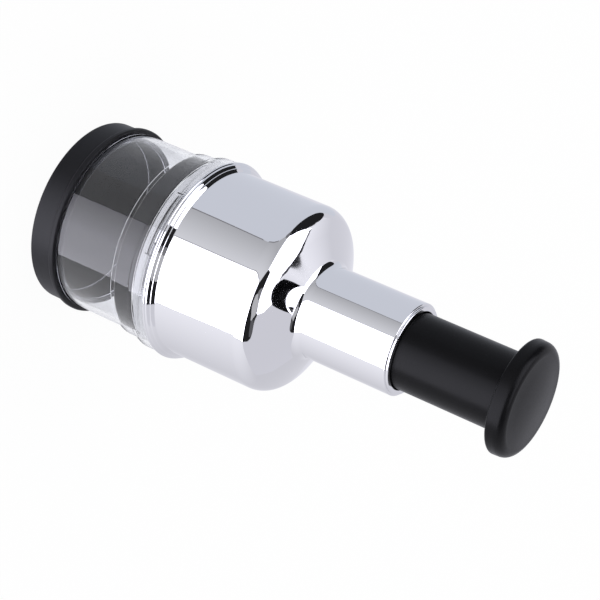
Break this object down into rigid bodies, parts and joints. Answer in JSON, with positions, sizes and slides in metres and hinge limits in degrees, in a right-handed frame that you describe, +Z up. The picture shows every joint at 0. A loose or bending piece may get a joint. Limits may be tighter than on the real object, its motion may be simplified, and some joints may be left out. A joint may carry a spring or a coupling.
{
  "type": "plunger food chopper",
  "caption": "Hand food chopper: press the knob and a zigzag blade on a spiral shaft drops and turns in a clear cup under a chromed housing, standing on a soft base cap",
  "frame": {"origin": "middle of the base cap's underside, on the table", "axes": "+Z up the plunger's axis to the knob; the part is round about Z, and the bayonet lug that the picture shows is at 116 degrees from +X towards -Y"},
  "size_m": [0.0884, 0.0884, 0.222],
  "materials": {
    "cap_plastic": "fine satin moulded black polyethylene",
    "clear_plastic": "clear moulded SAN, polished",
    "chrome": "bright chrome plating on drawn steel",
    "inner_plastic": "moulded black ABS",
    "acetal": "natural white acetal",
    "knob_plastic": "satin gloss moulded black ABS",
    "steel": "bright stainless steel",
    "blade_steel": "rolled stainless strip with a ground edge",
    "rubber": "soft black rubber"
  },
  "bodies": {
    "cap": {"base_cap": "cap_plastic"},
    "cup": {"clear_cup": "clear_plastic"},
    "housing": {"housing_shell": "chrome", "inner_liner": "inner_plastic", "guide_tube": "inner_plastic", "guide_screws": "steel", "neck_bush": "inner_plastic", "drive_nut": "acetal", "spring_seat": "steel", "return_spring": "steel"},
    "plunger": {"plunger_stem": "knob_plastic", "stop_ring": "rubber", "knob": "knob_plastic"},
    "blade_head": {"spiral_shaft": "steel", "swivel_washer": "steel", "swivel_clip": "steel", "zigzag_blade": "blade_steel", "blade_carrier": "inner_plastic", "carrier_washer": "steel", "carrier_nut": "steel"},
    "wiper": {"wiper_plate": "inner_plastic"}
  },
  "joints": [
    {"name": "cup_lift", "type": "slide", "parent": "cap", "child": "cup", "axis": [0, 0, 1], "range_m": [0, 0.02]},
    {"name": "housing_twist", "type": "hinge", "parent": "cup", "child": "housing", "pos_m": [0, 0, 0.06], "axis": [0, 0, 1], "range_deg": [0, 32]},
    {"name": "plunger_press", "type": "slide", "parent": "housing", "child": "plunger", "axis": [0, 0, -1], "range_m": [0, 0.0435], "stiffness_N_per_m": 250, "springref_m": -0.03, "deforming": ["return_spring"]},
    {"name": "blade_turn", "type": "hinge", "parent": "plunger", "child": "blade_head", "pos_m": [0, 0, 0.09], "axis": [0, 0, -1], "range_deg": [0, 60.01]},
    {"name": "wiper_turn", "type": "hinge", "parent": "housing", "child": "wiper", "pos_m": [0, 0, 0.05], "axis": [0, 0, -1], "range_deg": [0, 60.01]}
  ],
  "couplings": [
    {"joint": "blade_turn", "follows": "plunger_press", "rad_per_m": 24.073},
    {"joint": "wiper_turn", "follows": "plunger_press", "rad_per_m": 24.073}
  ]
}
